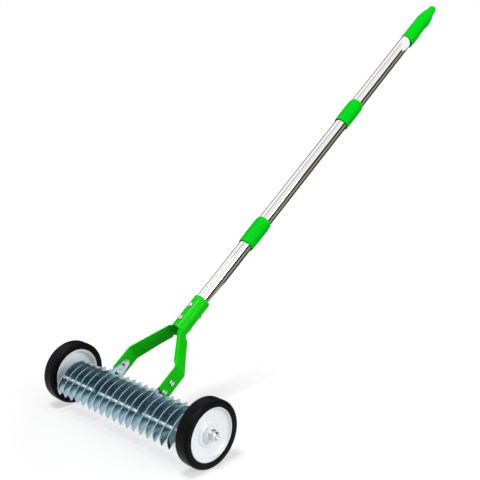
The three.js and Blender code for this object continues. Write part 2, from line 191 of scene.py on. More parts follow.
class AeratorFinishes(PropertyGroup):
    """Colours and surface values of the shown pieces."""

    paint: colour("Fork paint", "Satin paint of the pressed fork", (0.003, 0.56, 0.002))
    plastic: colour("Green plastic", "Moulded collars and grip", (0.0004, 0.54, 0.009))
    chrome: colour("Tube plating", "Bright plating of the handle tubes", (0.93, 0.925, 0.91))
    zinc: colour("Blade plating", "Bluish plating of the blades", (0.42, 0.57, 0.64))
    spacer: colour("Spacer steel", "Steel of the axle and its spacers", (0.3, 0.36, 0.4))
    steel: colour("Fastener steel", "Bolts and cap nuts", (0.66, 0.66, 0.65))
    rod: colour("Rod plating", "Rods through the blades", (0.88, 0.86, 0.8))
    rubber: colour("Tyre rubber", "Tyres", (0.0016, 0.0015, 0.002))
    hub: colour("Hub plastic", "Wheel hubs", (0.93, 0.965, 1.0))
    blade_gloss: level("Blade roughness", "Roughness of the blades", 0.2, max=1.0)


class AeratorStage(PropertyGroup):
    """The floor and the lights round the machine."""

    floor: colour("Floor", "Colour of the floor", (0.36, 0.36, 0.36))
    key_power: level("Key lamp", "Power of the large lamp overhead", 128.0)
    fill_power: level("Fill lamp", "Power of the lamp on the right", 47.0)
    sky: level("Sky", "Strength of the soft light from all round", 0.24)


def through(points, steps):
    """Points on a smooth curve through the given ones."""
    given = [Vector(p) for p in points]
    found = []
    for i in range(len(given) - 1):
        a, b, c, d = given[max(i - 1, 0)], given[i], given[i + 1], given[min(i + 2, len(given) - 1)]
        for k in range(steps):
            t = k / steps
            found.append(0.5 * (2 * b + (c - a) * t + (2 * a - 5 * b + 4 * c - d) * t * t
                                + (3 * b - a - 3 * c + d) * t ** 3))
    return found + [given[-1]]


def rounded(corners, steps=5):
    """A closed profile from (radius, along, fillet) corners; a sharp corner has no fillet."""
    points = [Vector(corner[:2]) for corner in corners]
    found = []
    for i, corner in enumerate(corners):
        if len(corner) < 3:
            found.append(points[i])
            continue
        here = points[i]
        start = here + (points[i - 1] - here).normalized() * corner[2]
        end = here + (points[(i + 1) % len(points)] - here).normalized() * corner[2]
        for k in range(steps + 1):
            t = k / steps
            found.append(start.lerp(here, t).lerp(here.lerp(end, t), t))
    return found


def polar(degrees, radius):
    """A point by its angle and radius in the plane across the axle."""
    turn = math.radians(degrees)
    return Vector((radius * math.cos(turn), radius * math.sin(turn)))


def smoothstep(value, low, high):
    """A smooth step from zero at low to one at high."""
    t = min(max((value - low) / (high - low), 0), 1)
    return t * t * (3 - 2 * t)


def smooth(mesh, sharp):
    """Shades a mesh smooth, up to an angle from which its edges stay sharp."""
    mesh.shade_smooth()
    mesh.set_sharp_from_angle(angle=math.radians(sharp))
    return mesh


def written(made, name):
    """A mesh with what a bmesh holds."""
    mesh = bpy.data.meshes.new(name)
    made.to_mesh(mesh)
    made.free()
    return mesh


def linked(name, data):
    """A new object that is linked into the scene."""
    made = bpy.data.objects.new(name, data)
    bpy.context.scene.collection.objects.link(made)
    return made


def to_mesh(made, name, sharp=35):
    """Turns a bmesh in millimetres into a smooth-shaded mesh in metres with sharp edges marked."""
    bmesh.ops.recalc_face_normals(made, faces=made.faces)
    bmesh.ops.scale(made, vec=(MM, MM, MM), verts=made.verts)
    return smooth(written(made, name), sharp)


def skin(rings, name, ends=False, sharp=35):
    """A mesh over a row of equal rings of points, capped at its ends or closed on itself."""
    made = bmesh.new()
    rows = [[made.verts.new(point) for point in ring] for ring in rings]
    count = len(rows[0])
    spans = list(zip(rows, rows[1:])) + ([] if ends else [(rows[-1], rows[0])])
    for low, high in spans:
        for i in range(count):
            made.faces.new((low[i - 1], low[i], high[i], high[i - 1]))
    if ends:
        made.faces.new(rows[0])
        made.faces.new(rows[-1])
    bmesh.ops.remove_doubles(made, verts=made.verts, dist=0.002)
    return to_mesh(made, name, sharp)


def lathe(profile, sides, name, along="X", sharp=35):
    """A mesh turned from a closed profile of (radius, distance along the axis)."""
    rings = []
    for i in range(sides):
        turn = 2 * math.pi * i / sides
        c, s = math.cos(turn), math.sin(turn)
        rings.append([(a, r * c, r * s) if along == "X" else (r * c, a, r * s)
                      for r, a in profile])
    return skin(rings, name, sharp=sharp)


def plate_blank(outline, holes, thickness):
    """A flat plate across the axle, as a bmesh."""
    made = bmesh.new()
    edges = []
    for loop in [outline, *holes]:
        verts = [made.verts.new((-thickness / 2, p.x, p.y)) for p in loop]
        edges += [made.edges.new((verts[i - 1], verts[i])) for i in range(len(verts))]
    bmesh.ops.triangle_fill(made, use_beauty=True, use_dissolve=False, edges=edges,
                            normal=(1, 0, 0))
    bmesh.ops.recalc_face_normals(made, faces=made.faces)
    grown = bmesh.ops.extrude_face_region(made, geom=made.faces[:])
    raised = [part for part in grown["geom"] if isinstance(part, bmesh.types.BMVert)]
    bmesh.ops.translate(made, vec=(thickness, 0, 0), verts=raised)
    bmesh.ops.recalc_face_normals(made, faces=made.faces)
    return made


def soften(made, offset, sharp=40):
    """Rounds the sharp edges of a bmesh."""
    edges = [e for e in made.edges if e.is_manifold and e.calc_face_angle(0) > math.radians(sharp)]
    bmesh.ops.bevel(made, geom=edges, offset=offset, segments=2, profile=0.6, affect="EDGES",
                    clamp_overlap=True)


def circle(centre, radius, sides=40):
    """A circle of points round a centre in the plane across the axle."""
    return [centre + polar(360 * i / sides, radius) for i in range(sides)]


def claw_outline():
    """The outline of a blade: two claws that both hook the same way round the body."""
    outline = []
    for claw in (FRONT_CLAW, REAR_CLAW):
        back, end, hook = ([polar(*point) for point in edge] for edge in claw)
        outline += through(back, 10) + end + through(hook, 8)
    return outline


def combined(mesh, tools, operation):
    """The mesh joined with, or cut by, each of the tool meshes."""
    target = linked("boolean_target", mesh)
    helpers = [linked("boolean_tool", tool) for tool in tools]
    for helper in helpers:
        modifier = target.modifiers.new("combine", "BOOLEAN")
        modifier.operation = operation
        modifier.solver = "EXACT"
        modifier.object = helper
    ready = target.evaluated_get(bpy.context.evaluated_depsgraph_get())
    made = bpy.data.meshes.new_from_object(ready)
    for helper in [target, *helpers]:
        bpy.data.objects.remove(helper)
    return made


def add_node(tree, kind, inputs=None, **settings):
    """Adds a node with its settings, and its inputs as values or as links from other sockets."""
    made = tree.nodes.new(kind)
    for key, value in settings.items():
        setattr(made, key, value)
    for key, value in (inputs or {}).items():
        if isinstance(value, bpy.types.NodeSocket):
            tree.links.new(value, made.inputs[key])
        else:
            made.inputs[key].default_value = value
    return made


def new_group(name, inputs, outputs):
    """A shader node group with named sockets, and its inner ends."""
    tree = bpy.data.node_groups.new(name, "ShaderNodeTree")
    for label, kind, default in inputs:
        socket = tree.interface.new_socket(label, in_out="INPUT", socket_type="NodeSocket" + kind)
        socket.default_value = default
    for label, kind in outputs:
        tree.interface.new_socket(label, in_out="OUTPUT", socket_type="NodeSocket" + kind)
    start = tree.nodes.new("NodeGroupInput")
    end = tree.nodes.new("NodeGroupOutput")
    return tree, start.outputs, end


def noise(tree, scale, detail, vector=None, roughness=0.55):
    """A noise texture on the piece's own coordinates, and its value."""
    place = vector or add_node(tree, "ShaderNodeTexCoord").outputs["Object"]
    made = add_node(tree, "ShaderNodeTexNoise", {"Vector": place, "Scale": scale, "Detail": detail,
                                                 "Roughness": roughness})
    return made.outputs["Fac"]


def maths(tree, operation, a, b=0.0, clamp=False):
    """One calculation with two values."""
    made = add_node(tree, "ShaderNodeMath", {0: a, 1: b}, operation=operation, use_clamp=clamp)
    return made.outputs[0]


def mixed(tree, share, first, second):
    """A second colour laid over a first one by a share."""
    made = add_node(tree, "ShaderNodeMix", {0: share, 6: first, 7: second}, data_type="RGBA")
    return made.outputs[2]


def ranged(tree, value, low, high, to_low=0.0, to_high=1.0):
    """A value mapped from one range to another and held inside it."""
    made = add_node(tree, "ShaderNodeMapRange", {
        "Value": value, "From Min": low, "From Max": high, "To Min": to_low, "To Max": to_high})
    return made.outputs["Result"]


def edge_wear_and_highlight_group():
    """A mask of the edges, broken up by noise, for a lighter colour there that stands partly for
    rubbed wear and partly for a painted highlight.
    """
    tree, given, end = new_group("Edge Wear And Highlight", [
        ("Radius", "Float", 0.0008), ("Break Up", "Float", 90.0)], [("Mask", "Float")])
    bevel = add_node(tree, "ShaderNodeBevel", {"Radius": given["Radius"]}, samples=4)
    true_normal = add_node(tree, "ShaderNodeNewGeometry").outputs["Normal"]
    agreement = add_node(tree, "ShaderNodeVectorMath", {0: bevel.outputs[0], 1: true_normal},
                         operation="DOT_PRODUCT")
    edge = ranged(tree, agreement.outputs["Value"], 0.995, 0.88)
    broken = ranged(tree, noise(tree, given["Break Up"], 3.0), 0.35, 0.6)
    tree.links.new(maths(tree, "MULTIPLY", edge, broken), end.inputs["Mask"])
    return tree


def grain_group():
    """Fine surface relief for a Bump: close grain on a slower wave."""
    tree, given, end = new_group("Surface Grain", [
        ("Scale", "Float", 800.0), ("Wave Scale", "Float", 60.0), ("Wave", "Float", 0.5)],
        [("Height", "Float")])
    wave = maths(tree, "MULTIPLY", noise(tree, given["Wave Scale"], 1.0), given["Wave"])
    height = maths(tree, "ADD", noise(tree, given["Scale"], 3.0), wave)
    tree.links.new(height, end.inputs["Height"])
    return tree


def tone_group():
    """Slow changes of colour, and a value for the roughness to follow, different on every piece."""
    tree, given, end = new_group("Tone Variation", [
        ("Color", "Color", (0.8, 0.8, 0.8, 1)), ("Second Color", "Color", (0.5, 0.5, 0.5, 1)),
        ("Scale", "Float", 20.0), ("Amount", "Float", 0.3)],
        [("Color", "Color"), ("Variation", "Float")])
    own = add_node(tree, "ShaderNodeObjectInfo").outputs["Random"]
    place = add_node(tree, "ShaderNodeTexCoord").outputs["Object"]
    moved = add_node(tree, "ShaderNodeVectorMath", {0: place, 1: own}, operation="ADD").outputs[0]
    spots = ranged(tree, noise(tree, given["Scale"], 4.0, moved, 0.6), 0.36, 0.66)
    share = maths(tree, "MULTIPLY", spots, given["Amount"])
    blend = mixed(tree, share, given["Color"], given["Second Color"])
    tree.links.new(blend, end.inputs["Color"])
    tree.links.new(spots, end.inputs["Variation"])
    return tree


def lines_group():
    """Fine drawn or rolled lines along one direction of the piece."""
    tree, given, end = new_group(
        "Drawn Lines", [("Stretch", "Vector", (900.0, 12.0, 900.0))], [("Height", "Float")])
    place = add_node(tree, "ShaderNodeTexCoord").outputs["Object"]
    stretched = add_node(tree, "ShaderNodeVectorMath", {0: place, 1: given["Stretch"]},
                         operation="MULTIPLY")
    tree.links.new(noise(tree, 1.0, 4.0, stretched.outputs[0]), end.inputs["Height"])
    return tree


GROUP_MAKERS = {
    "Edge Wear And Highlight": edge_wear_and_highlight_group, "Surface Grain": grain_group, "Tone Variation": tone_group,
    "Drawn Lines": lines_group,
}


def placed(tree, name, values):
    """A shared node group, built once, placed in a material with this material's own values."""
    group = bpy.data.node_groups.get(name) or GROUP_MAKERS[name]()
    return add_node(tree, "ShaderNodeGroup", values, node_tree=group)


def rgba(value, factor=1.0):
    """A colour with its alpha, made lighter or darker by a factor."""
    return (*(min(1.0, channel * factor) for channel in value), 1.0)


def new_material(name, values):
    """A material with the given values on its shader, and the shader."""
    made = bpy.data.materials.new(name)
    made.use_nodes = True
    shader = made.node_tree.nodes["Principled BSDF"]
    for key, value in values.items():
        shader.inputs[key].default_value = value
    return made, shader


def surface(name, base, *, fade, amount, scale, roughness, spread, grain, wear_and_highlight, metallic=0.0,
            coat=0.0, lines=None, specular=0.5):
    """A material from the shared groups: tones of the base colour, fine relief, and lighter edges
    that are partly rubbed wear and partly a painted highlight.

    fade is the factor from the base colour to its second tone, and spread is how far the roughness
    strays. grain is (scale, wave scale, wave, relief in metres); the edges are given as (colour,
    edge radius in metres, strength) and made lighter, partly as rubbed wear and partly as a painted
    highlight; and lines is how closely drawn lines lie along each axis."""
    found = bpy.data.materials.get(name)
    if found:
        return found
    made, shader = new_material(name, {
        "Metallic": metallic, "Coat Weight": coat, "Coat Roughness": 0.08,
        "Specular IOR Level": specular})
    tree = made.node_tree
    tone = placed(tree, "Tone Variation", {
        "Color": rgba(base), "Second Color": rgba(base, fade), "Scale": scale, "Amount": amount})
    # The edges get a lighter colour: partly rubbed wear, partly a painted highlight.
    worn_and_lit_colour, edge_radius, wear_and_highlight_strength = wear_and_highlight
    mask = placed(tree, "Edge Wear And Highlight", {"Radius": edge_radius, "Break Up": 140.0}).outputs["Mask"]
    strength = maths(tree, "MULTIPLY", mask, wear_and_highlight_strength)
    blend = mixed(tree, strength, tone.outputs["Color"], rgba(worn_and_lit_colour))
    tree.links.new(blend, shader.inputs["Base Color"])
    varied = ranged(tree, tone.outputs["Variation"], 0.0, 1.0, roughness - spread,
                    roughness + spread)
    tree.links.new(varied, shader.inputs["Roughness"])
    grain_scale, wave_scale, wave, relief = grain
    height = placed(tree, "Surface Grain", {
        "Scale": grain_scale, "Wave Scale": wave_scale, "Wave": wave}).outputs["Height"]
    if lines:
        drawn = placed(tree, "Drawn Lines", {"Stretch": lines}).outputs["Height"]
        height = maths(tree, "ADD", height, drawn)
    bump = add_node(tree, "ShaderNodeBump", {"Height": height, "Distance": relief, "Strength": 1.0})
    tree.links.new(bump.outputs["Normal"], shader.inputs["Normal"])
    return made


def finishes():
    """The user's colours and surface values."""
    return bpy.context.scene.aerator_finishes


def paint_material():
    """Satin paint with a little orange peel, and a painted highlight of lighter green along its
    edges.
    """
    c = finishes().paint
    return surface("fork_paint", c, fade=0.8, amount=0.3, scale=24.0, roughness=0.38, spread=0.04,
                   grain=(500.0, 60.0, 6.0, 0.0000015), wear_and_highlight=([v * 1.4 for v in c], 0.0012, 0.35),
                   specular=0.08)


def plastic_material():
    """Moulded plastic with a fine matt grain, and a painted highlight of lighter green along its
    edges.
    """
    c = finishes().plastic
    return surface("moulded_green", c, fade=0.85, amount=0.3, scale=40.0, roughness=0.42,
                   spread=0.05, grain=(1500.0, 120.0, 0.6, 0.00001),
                   wear_and_highlight=([v * 1.2 for v in c], 0.0009, 0.4), specular=0.02)


def chrome_material():
    """Bright plated tube with faint drawing lines."""
    c = finishes().chrome
    return surface("bright_tube", c, fade=0.9, amount=0.25, scale=12.0, roughness=0.04,
                   spread=0.015, grain=(400.0, 20.0, 0.5, 0.000002), wear_and_highlight=(c, 0.0006, 0.3),
                   metallic=1.0, lines=(700.0, 5.0, 700.0))


def zinc_material():
    """Bluish plating with soft clouds, and pale edges that are partly rubbed wear and partly a
    painted highlight.
    """
    return surface("clawed_blade_zinc", finishes().zinc, fade=0.86, amount=0.3, scale=45.0,
                   roughness=finishes().blade_gloss, spread=0.05,
                   grain=(900.0, 60.0, 2.0, 0.000002), wear_and_highlight=((0.8, 0.83, 0.85), 0.0006, 0.9),
                   metallic=0.96)


def spacer_material():
    """Duller plated steel of the axle and its spacers."""
    return surface("spacer_plating", finishes().spacer, fade=0.7, amount=0.4, scale=90.0,
                   roughness=0.24, spread=0.06, grain=(900.0, 90.0, 1.0, 0.00001),
                   wear_and_highlight=((0.7, 0.74, 0.78), 0.0006, 0.6), metallic=1.0, lines=(14.0, 800.0, 800.0))


def steel_material():
    """Bright plated bolts and cap nuts."""
    return surface("bright_fastener", finishes().steel, fade=0.75, amount=0.4, scale=120.0,
                   roughness=0.16, spread=0.05, grain=(1200.0, 200.0, 1.0, 0.000003),
                   wear_and_highlight=((0.9, 0.9, 0.88), 0.0005, 0.6), metallic=1.0)


def rod_material():
    """Pale plated rods through the blades."""
    return surface("pale_rod", finishes().rod, fade=0.85, amount=0.4, scale=90.0, roughness=0.34,
                   spread=0.05, grain=(900.0, 200.0, 1.0, 0.000003),
                   wear_and_highlight=((0.95, 0.94, 0.9), 0.0005, 0.5), metallic=0.7, lines=(14.0, 800.0, 800.0))


def rubber_material():
    """Black rubber with a greyish bloom."""
    return surface("black_rubber", finishes().rubber, fade=3.0, amount=0.6, scale=45.0,
                   roughness=0.36, spread=0.06, grain=(1400.0, 60.0, 0.8, 0.00001),
                   wear_and_highlight=((0.01, 0.01, 0.012), 0.0012, 0.5), specular=0.06)


def hub_material():
    """Bluish white moulded plastic."""
    return surface("white_hub", finishes().hub, fade=0.94, amount=0.35, scale=35.0, roughness=0.3,
                   spread=0.05, grain=(1300.0, 80.0, 0.6, 0.00001),
                   wear_and_highlight=((0.94, 0.96, 0.99), 0.0008, 0.4), coat=0.6, specular=0.8)


def add_piece(node, mesh, matrix, material):
    """Shows a mesh in place of a CAD node, which it hides: it rides on the node's body."""
    if not mesh.materials:
        mesh.materials.append(material)
    body = frame["nodes"][node]["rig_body"]
    piece = linked(node + "_shown", mesh)
    piece.matrix_world = matrix
    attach(piece, body)
    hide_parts(node)


def shifted(base, x=0.0, y=0.0, z=0.0):
    """A frame moved by millimetres along its own axes."""
    return base @ Matrix.Translation((x * MM, y * MM, z * MM))


def facing(side):
    """A half turn about the upright axis for pieces on the left, so that they face outwards."""
    return Matrix.Identity(4) if side > 0 else Matrix.Rotation(math.pi, 4, "Z")


def add_on_wheels(kind, mesh, material):
    """Adds a turned mesh at the centre of each wheel."""
    for place, side in SIDES.items():
        matrix = shifted(ROLLER_FRAME, side * WHEEL_CENTRE) @ facing(side)
        add_piece(f"{kind}_{place}", mesh, matrix, material)


def along_axle(node):
    """A frame at the middle of a node that lies on the axle, and the node's half length."""
    low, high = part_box(node)
    return shifted(ROLLER_FRAME, (low.x + high.x) / 2 / MM), (high.x - low.x) / 2 / MM


def sizes():
    """The user's sizes."""
    return bpy.context.scene.aerator_sizes


class AERATOR_OT_tyres(Operator):
    """Adds the two tyres"""

    bl_idname = "aerator.tyres"
    bl_label = "Tyres"

    def execute(self, context):
        shoulder = sizes().tyre_shoulder / MM
        inner, outer, half, lip = 48, 60, 14.3, 0.6
        profile = rounded([(inner, -half, lip), (outer, -half, shoulder), (outer, half, shoulder),
                           (inner, half, lip)], 10)
        mesh = lathe(profile, 2 * sizes().lathe_sides, "tyre")
        add_on_wheels("tyre", mesh, rubber_material())
        return {"FINISHED"}


class AERATOR_OT_hubs(Operator):
    """Adds the dished hubs with their rings and bosses"""

    bl_idname = "aerator.hubs"
    bl_label = "Hubs"

    def execute(self, context):
        dish = through([(45.2, 11.6), (44.2, 8.6), (40.5, 6.1), (34, 5.0), (27, 4.4),
                        (24.0, 4.3)], 5)
        ring = through([(23.2, 4.6), (22.2, 5.9), (20.9, 6.4), (19.6, 5.8), (18.6, 4.7)], 4)
        boss = through([(17.6, 4.6), (15.4, 5.6), (14.1, 8.2), (13.4, 12.4)], 5)
        back = rounded([(AXLE_BORE, -31, 0.3), (12.5, -31, 0.6), (14.5, -6, 1.5), (39, -3, 2),
                        (43.6, -12, 0.5), (HUB_EDGE, -12, 0.4), (HUB_EDGE, 12, 0.7),
                        (45.6, 12.1, 0.4)], 4)
        profile = back + dish + ring + boss + [Vector((12.9, 13)), Vector((AXLE_BORE, 13))]
        mesh = lathe(profile, sizes().lathe_sides, "hub", sharp=50)
        add_on_wheels("hub", mesh, hub_material())
        return {"FINISHED"}


class AERATOR_OT_cap_nuts(Operator):
    """Adds the domed cap nuts on the axle's ends"""

    bl_idname = "aerator.cap_nuts"
    bl_label = "Cap nuts"

    def execute(self, context):
        flange = rounded([(AXLE_BORE, 13.35), (10.9, 13.35, 0.3), (10.9, 14.6, 0.4),
                          (9.2, 14.9, 0.4)], 3)
        crown = through([(9.0, 15.6), (8.9, 19.4), (8.1, 21.9), (6.4, 23.2), (4.6, 23.5),
                         (3.2, 22.9)], 6)
        dimple = through([(2.9, 21.8), (1.8, 21.2), (0, 21.1)], 3)
        profile = flange + crown + dimple + [Vector((0, 17.35)), Vector((AXLE_BORE, 17.35))]
        mesh = lathe(profile, 64, "cap_nut", sharp=50)
        add_on_wheels("cap_nut", mesh, steel_material())
        return {"FINISHED"}


class AERATOR_OT_blades(Operator):
    """Adds the sixteen clawed blades"""

    bl_idname = "aerator.blades"
    bl_label = "Blades"

    def execute(self, context):
        holes = [circle(Vector((0, 0)), AXLE_BORE),
                 circle(polar(TIE_ROD_ANGLE, TIE_ROD_ORBIT), TIE_ROD_HOLE, 24)]
        made = plate_blank(claw_outline(), holes, sizes().blade_thickness / MM)
        soften(made, sizes().edge_rounding / MM)
        mesh = to_mesh(made, "blade")
        for node in sorted(n for n in frame["nodes"] if n.startswith("blade_")):
            matrix, _ = along_axle(node)
            add_piece(node, mesh, matrix, zinc_material())
        return {"FINISHED"}


class AERATOR_OT_hangers(Operator):
    """Adds the two fixed plates that carry the axle inside the fork arms"""

    bl_idname = "aerator.hangers"
    bl_label = "Hangers"

    def execute(self, context):
        thickness = sizes().blade_thickness / MM
        tilt = Matrix.Rotation(HANDLE_TILT, 2)
        tip, tip_radius = Vector((50, 16.5)), 8.2
        tongue = [(4, 35.4), (24, 32.6)]
        tongue += [tip + polar(degrees, tip_radius) for degrees in range(70, -81, -10)]
        tongue += [(30, 3.6), (8, -4)]
        bolt_places = [tilt @ Vector((s, ARM_BOLT_LINE)) for s in ARM_BOLTS.values()]
        blanks = [plate_blank(claw_outline(), [], thickness),
                  plate_blank([tilt @ Vector(p) for p in tongue][::-1], [], thickness)]
        holes = [*((place, BOLT_HOLE) for place in bolt_places), (Vector((0, 0)), HANGER_BORE)]
        cutters = [plate_blank(circle(place, radius), [], 3 * thickness)
                   for place, radius in holes]
        blank, tongue_mesh, *drills = [to_mesh(part, "blank") for part in blanks + cutters]
        plate = combined(combined(blank, [tongue_mesh], "UNION"), drills, "DIFFERENCE")
        made = bmesh.new()
        made.from_mesh(plate)
        bmesh.ops.scale(made, vec=(1 / MM,) * 3, verts=made.verts)
        bmesh.ops.remove_doubles(made, verts=made.verts, dist=0.01)
        bmesh.ops.dissolve_limit(made, angle_limit=0.02, verts=made.verts, edges=made.edges)
        soften(made, sizes().edge_rounding / MM)
        mesh = to_mesh(made, "hanger")
        for place, side in SIDES.items():
            matrix = shifted(ROLLER_FRAME, side * HANGER_CENTRE)
            add_piece(f"hanger_{place}", mesh, matrix, zinc_material())
        return {"FINISHED"}


class AERATOR_OT_axle(Operator):
    """Adds the spacers and finishes the axle inside them"""

    bl_idname = "aerator.axle"
    bl_label = "Axle and spacers"

    def execute(self, context):
        radius = sizes().spacer_radius / MM
        meshes = {}
        for node in sorted(n for n in frame["nodes"] if n.startswith("spacer_")):
            matrix, half = along_axle(node)
            half = round(half, 3)
            if half not in meshes:
                ring = rounded([(AXLE_BORE, -half), (radius, -half, 0.5), (radius, half, 0.5),
                                (AXLE_BORE, half)], 3)
                meshes[half] = lathe(ring, 64, "spacer")
            add_piece(node, meshes[half], matrix, spacer_material())
        axle = frame["nodes"]["axle"]
        axle.data.materials.clear()
        axle.data.materials.append(spacer_material())
        rim = axle.modifiers.new("rounded ends", "BEVEL")
        rim.width = 0.0004
        rim.segments = 2
        rim.limit_method = "ANGLE"
        rim.angle_limit = math.radians(40)
        return {"FINISHED"}


class AERATOR_OT_tie_rods(Operator):
    """Adds the rods that hold the blades in line"""

    bl_idname = "aerator.tie_rods"
    bl_label = "Tie rods"

    def execute(self, context):
        radius = sizes().tie_rod_radius / MM
        place = polar(TIE_ROD_ANGLE, TIE_ROD_ORBIT)
        for span in ("left", "centre", "right"):
            node = f"tie_rod_{span}"
            middle, half = along_axle(node)
            profile = rounded([(0, -half), (radius, -half, 0.7), (radius, half, 0.7), (0, half)], 4)
            matrix = shifted(middle, 0, place.x, place.y)
            add_piece(node, lathe(profile, 32, node), matrix, rod_material())
        return {"FINISHED"}


def arm_face(s, share, side, lift):
    """A point of an arm: s up the handle, share across the sheet, lift inwards from its outer face.

    The flat web, on the right arm with its upper edge folded in, is drawn over into half a shell.
    Each arm is worked out as if on the right. x runs outwards, n up the web from its lower edge."""
    width, flange = sizes().arm_width / MM, sizes().arm_flange / MM
    easing = 0.8 * math.exp(-abs(s - ARM_BEND) / 2)
    bend = max(0, s - ARM_BEND) * ARM_SPLAY + easing
    web = max(ARM_OUTER - bend, SHELL_RADIUS)
    fold = smoothstep(s, ARM_BEND - 4, ARM_BEND + 9) if side > 0 else 0
    rise = 3 * smoothstep(s, ARM_BEND, 125)
    notch = 9 * math.exp(-((s - ARM_NOTCH) / 3.4) ** 2)
    corner, fold_start = 5, width - 4
    angle = 0.001 + fold * math.pi / 2  # never nought, as the fold's radius is divided by it
    clip = ARM_CORNER - math.sqrt(ARM_CORNER ** 2 - max(0, ARM_CORNER - (s - ARM_START)) ** 2)
    travel = clip + (width + flange * fold - 2 * clip) * share
    turned = min(max((travel - fold_start) / corner, 0), 1) * angle
    rest = max(0, travel - fold_start - corner)
    radius = corner / angle
    x = web - radius * (1 - math.cos(turned)) - rest * math.sin(turned)
    n = min(travel, fold_start) + radius * math.sin(turned) + rest * math.cos(turned)
    slope = ARM_SPLAY * smoothstep(s, ARM_BEND - 2, ARM_BEND + 2) * (1 - smoothstep(s, 140, 148))
    x -= lift * math.cos(turned) * math.hypot(1, slope)
    above = n - lift * math.sin(turned) + (rise + notch) * (1 - share) - HANDLE_LINE
    shell = smoothstep(s, SHELL_START - 8 + 3 * share, SHELL_START)
    around = math.radians(side * SHELL_TURN - SHELL_HALF + 2 * SHELL_HALF * share)
    heading = math.atan2(above, x) * (1 - shell) + around * shell
    flare = 1.4 * math.sin(math.pi * shell)
    out = math.hypot(x, above) * (1 - shell) + (SHELL_RADIUS - lift) * shell + flare
    return Vector((side * out * math.cos(heading), s, HANDLE_LINE + out * math.sin(heading)))


def arm_ring(s, inset, side):
    """The closed section of an arm with rounded cut edges; inset thins the sheet at its ends."""
    thickness = sizes().sheet_thickness / MM
    edge = sizes().sheet_rounding / MM + inset
    count = 44
    pull = edge * MM / sizes().arm_width
    outer = [(pull + (1 - 2 * pull) * i / count, inset) for i in range(count + 1)]
    inner = [(share, thickness - inset) for share, _ in reversed(outer)]
    top = [(1 - 0.3 * pull, edge * 0.3), (1, edge), (1, thickness - edge),
           (1 - 0.3 * pull, thickness - edge * 0.3)]
    foot = [(1 - share, thickness - lift) for share, lift in top]
    return [arm_face(s, share, side, lift) for share, lift in outer + top + inner + foot]


def drill(along, above, upright=False):
    """A rod that cuts a bolt hole, level across the handle or upright through it."""
    length = 160
    mesh = to_mesh(plate_blank(circle(Vector((along, above)), BOLT_HOLE), [], length), "drill")
    if upright:
        mesh.transform(Matrix.Rotation(-math.pi / 2, 4, "Y"))
    return mesh


class AERATOR_OT_fork_arms(Operator):
    """Adds the two pressed arms of the fork"""

    bl_idname = "aerator.fork_arms"
    bl_label = "Fork arms"

    def execute(self, context):
        rim = 0.6
        squared = ARM_START + ARM_CORNER
        spans = [(ARM_START + rim, squared, 8), (squared, 66, 5), (66, 92, 26), (92, 136, 6),
                 (136, 154, 36), (154, ARM_END - rim, 6)]
        stations = [(ARM_START, rim)]
        stations += [(low + (high - low) * i / count, 0) for low, high, count in spans
                     for i in range(count)]
        stations += [(ARM_END - rim, 0), (ARM_END, rim)]
        for place, side in SIDES.items():
            node = f"fork_arm_{place}"
            rings = [arm_ring(s, inset, side) for s, inset in stations]
            blank = skin(rings, node, ends=True, sharp=50)
            cutters = [drill(s, ARM_BOLT_LINE) for s in ARM_BOLTS.values()]
            cutters += [drill(s, 0, upright=True) for s in SOCKET_BOLTS.values()]
            mesh = smooth(combined(blank, cutters, "DIFFERENCE"), 50)
            add_piece(node, mesh, HANDLE_FRAME, paint_material())
        return {"FINISHED"}


def bolt_mesh(grip, name):
    """A pan-head bolt with its hexagon nut; the clamped sheets lie from zero to the grip length."""
    head, nut = grip + 0.3, -0.3
    bolt = rounded([(0, nut - 4.6), (2.6, nut - 4.6, 0.5), (2.6, head), (5.4, head, 0.3),
                    (5.4, head + 2.6, 1.6), (2.0, head + 3.4, 0.6), (1.4, head + 2.8),
                    (0, head + 2.7)], 4)
    shank = lathe(bolt, 36, name)
    steps = 36
    half_flats, chamfer_radius = 4.9, 5.7 * 0.9
    rings = []
    for chamfered, height in ((True, nut - 3.4), (False, nut - 2.7), (False, nut)):
        ring = []
        for i in range(steps):
            turn = 360 * i / steps
            radius = half_flats / math.cos(math.radians(turn % 60 - 30))
            point = polar(turn, min(radius, chamfer_radius) if chamfered else radius)
            ring.append((height, point.x, point.y))
        rings.append(ring)
    return smooth(combined(shank, [skin(rings, "nut", ends=True)], "UNION"), 30)


class AERATOR_OT_bolts(Operator):
    """Adds the bolts of the fork arms and of the handle socket"""

    bl_idname = "aerator.bolts"
    bl_label = "Bolts"

    def execute(self, context):
        seat = HANGER_CENTRE - 1
        arm_bolt = bolt_mesh(ARM_OUTER - seat, "arm_bolt")
        socket_bolt = bolt_mesh(2 * SHELL_RADIUS, "socket_bolt")
        for height, s in ARM_BOLTS.items():
            for place, side in SIDES.items():
                matrix = shifted(HANDLE_FRAME, side * seat, s, ARM_BOLT_LINE) @ facing(side)
                add_piece(f"arm_bolt_{place}_{height}", arm_bolt, matrix, steel_material())
        upright = Matrix.Rotation(-math.pi / 2, 4, "Y")
        for height, s in SOCKET_BOLTS.items():
            matrix = shifted(HANDLE_FRAME, 0, s, HANDLE_LINE - SHELL_RADIUS) @ upright
            add_piece(f"socket_bolt_{height}", socket_bolt, matrix, steel_material())
        return {"FINISHED"}


